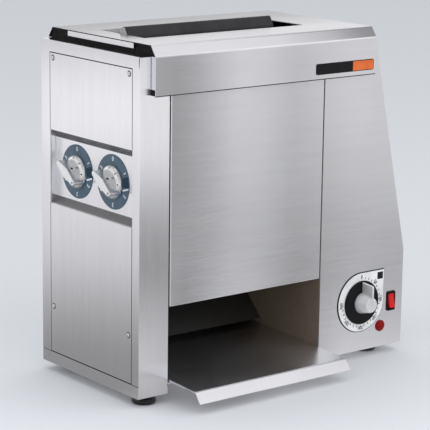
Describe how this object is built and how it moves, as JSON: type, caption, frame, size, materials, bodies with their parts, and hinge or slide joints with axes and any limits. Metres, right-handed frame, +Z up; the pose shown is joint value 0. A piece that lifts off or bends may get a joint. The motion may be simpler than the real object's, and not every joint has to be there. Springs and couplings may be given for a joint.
{
  "type": "vertical toaster",
  "caption": "Vertical contact toaster: bun halves drop past a heated platen between belt conveyors onto a front tray; adjuster knobs on the side, thermostat, rocker and lamp in front.",
  "frame": {"origin": "middle of the whole toaster's box, on the surface that its feet stand on", "axes": "+X to the right seen from the front, +Y from the front to the rear, +Z up"},
  "size_m": [0.5752, 0.372, 0.5831],
  "materials": {
    "casing_steel": "brushed stainless sheet",
    "fastener_steel": "bright plated",
    "dial_blue": "satin blue-grey print",
    "bush_bronze": "machined bronze",
    "foot_rubber": "matt rubber",
    "platen_aluminium": "cast, machined faces",
    "heater_sheath": "oxidised sheath",
    "bracket_steel": "plain sheet",
    "release_cloth": "black coated glass cloth",
    "chute_black": "black release coating",
    "motor_grey": "grey enamel",
    "switch_black": "moulded",
    "plate_black": "satin printed plate",
    "scale_white": "white printed plate",
    "lamp_red": "clear dark red lens",
    "gland_black": "moulded nylon",
    "block_ivory": "ceramic-filled moulding",
    "seal_rubber": "silicone rubber",
    "belt_wire": "stainless wire belt",
    "shaft_steel": "turned steel",
    "gear_brass": "machined brass",
    "knob_metal": "satin cast metal",
    "skirt_black": "moulded black",
    "rocker_red": "moulded red"
  },
  "bodies": {
    "frame": {"base_pan": "casing_steel", "left_casing": "casing_steel", "upper_side_cover": "casing_steel", "lower_side_cover": "casing_steel", "control_recess": "casing_steel", "left_partition": "casing_steel", "right_partition": "casing_steel", "right_front_panel": "casing_steel", "right_side_cover": "casing_steel", "rear_panel": "casing_steel", "front_feed_guide": "casing_steel", "rear_feed_guide": "casing_steel", "tray_runners": "casing_steel", "casing_screws": "fastener_steel", "foot_screws": "fastener_steel", "panel_studs": "fastener_steel", "front_dial": "dial_blue", "rear_dial": "dial_blue", "adjuster_bushes": "bush_bronze", "drive_bushes": "bush_bronze", "rubber_feet": "foot_rubber", "heater_platen": "platen_aluminium", "platen_heaters": "heater_sheath", "platen_mounts": "bracket_steel", "release_sheet": "release_cloth", "discharge_chute": "chute_black", "motor_bracket": "bracket_steel", "gearmotor": "motor_grey", "thermostat_body": "switch_black", "thermostat_backplate": "plate_black", "thermostat_scale": "scale_white", "rocker_housing": "switch_black", "indicator_lamp": "lamp_red", "cable_gland": "gland_black", "terminal_block": "block_ivory"},
    "hood": {"hood": "casing_steel", "hood_seals": "seal_rubber", "hood_gaskets": "seal_rubber", "name_plate": "plate_black"},
    "front_panel": {"front_panel": "casing_steel"},
    "tray": {"tray": "casing_steel"},
    "front_conveyor": {"front_conveyor_frame": "casing_steel", "front_belt": "belt_wire"},
    "rear_conveyor": {"rear_conveyor_frame": "casing_steel", "rear_belt": "belt_wire"},
    "front_idler": {"front_idler": "shaft_steel"},
    "rear_idler": {"rear_idler": "shaft_steel"},
    "front_drive": {"front_drive_shaft": "shaft_steel", "front_drive_gear": "gear_brass"},
    "rear_drive": {"rear_drive_shaft": "shaft_steel", "rear_drive_gear": "gear_brass"},
    "front_adjuster": {"front_knob": "knob_metal", "front_cam_shaft": "shaft_steel"},
    "rear_adjuster": {"rear_knob": "knob_metal", "rear_cam_shaft": "shaft_steel"},
    "motor_output": {"motor_pinion": "gear_brass"},
    "thermostat_knob": {"thermostat_skirt": "skirt_black", "thermostat_hub": "knob_metal"},
    "power_rocker": {"rocker": "rocker_red"}
  },
  "joints": [
    {"name": "front_adjuster_turn", "type": "hinge", "parent": "frame", "child": "front_adjuster", "pos_m": [-0.27435, -0.018, 0.34825], "axis": [1, 0, 0], "range_deg": [-120, 180]},
    {"name": "rear_adjuster_turn", "type": "hinge", "parent": "frame", "child": "rear_adjuster", "pos_m": [-0.27435, 0.082, 0.34825], "axis": [1, 0, 0], "range_deg": [-120, 180]},
    {"name": "front_conveyor_tilt", "type": "hinge", "parent": "frame", "child": "front_conveyor", "pos_m": [-0.05935, -0.018, 0.21], "axis": [-1, 0, 0], "range_deg": [-1.3, 1.9]},
    {"name": "rear_conveyor_tilt", "type": "hinge", "parent": "frame", "child": "rear_conveyor", "pos_m": [-0.05935, 0.082, 0.21], "axis": [1, 0, 0], "range_deg": [-1.3, 1.9]},
    {"name": "front_drive_spin", "type": "hinge", "parent": "frame", "child": "front_drive", "pos_m": [-0.05935, -0.018, 0.21], "axis": [1, 0, 0], "continuous": true},
    {"name": "rear_drive_spin", "type": "hinge", "parent": "frame", "child": "rear_drive", "pos_m": [-0.05935, 0.082, 0.21], "axis": [1, 0, 0], "continuous": true},
    {"name": "motor_spin", "type": "hinge", "parent": "frame", "child": "motor_output", "pos_m": [0.11165, 0.082, 0.28], "axis": [1, 0, 0], "continuous": true},
    {"name": "front_idler_spin", "type": "hinge", "parent": "front_conveyor", "child": "front_idler", "pos_m": [-0.05935, -0.013, 0.515], "axis": [1, 0, 0], "continuous": true},
    {"name": "rear_idler_spin", "type": "hinge", "parent": "rear_conveyor", "child": "rear_idler", "pos_m": [-0.05935, 0.077, 0.515], "axis": [1, 0, 0], "continuous": true},
    {"name": "thermostat_turn", "type": "hinge", "parent": "frame", "child": "thermostat_knob", "pos_m": [0.19065, -0.103, 0.101], "axis": [0, 1, 0], "range_deg": [0, 270]},
    {"name": "rocker_tip", "type": "hinge", "parent": "frame", "child": "power_rocker", "pos_m": [0.26115, -0.103, 0.093], "axis": [1, 0, 0], "range_deg": [0, 22]},
    {"name": "tray_slide", "type": "slide", "parent": "frame", "child": "tray", "axis": [0, -0.9991, -0.0419], "range_m": [0, 0.25]},
    {"name": "hood_lift", "type": "slide", "parent": "frame", "child": "hood", "axis": [0, 0, 1], "range_m": [0, 0.12]},
    {"name": "panel_lift", "type": "slide", "parent": "frame", "child": "front_panel", "axis": [0, 0, 1], "range_m": [0, 0.02]}
  ],
  "couplings": [
    {"joint": "front_conveyor_tilt", "follows": "front_adjuster_turn", "ratio": 0.010361},
    {"joint": "rear_conveyor_tilt", "follows": "rear_adjuster_turn", "ratio": 0.010361},
    {"joint": "rear_drive_spin", "follows": "front_drive_spin", "ratio": -1},
    {"joint": "motor_spin", "follows": "front_drive_spin", "ratio": 2.5},
    {"joint": "front_idler_spin", "follows": "front_drive_spin", "ratio": 1.3077},
    {"joint": "rear_idler_spin", "follows": "front_drive_spin", "ratio": -1.3077}
  ]
}
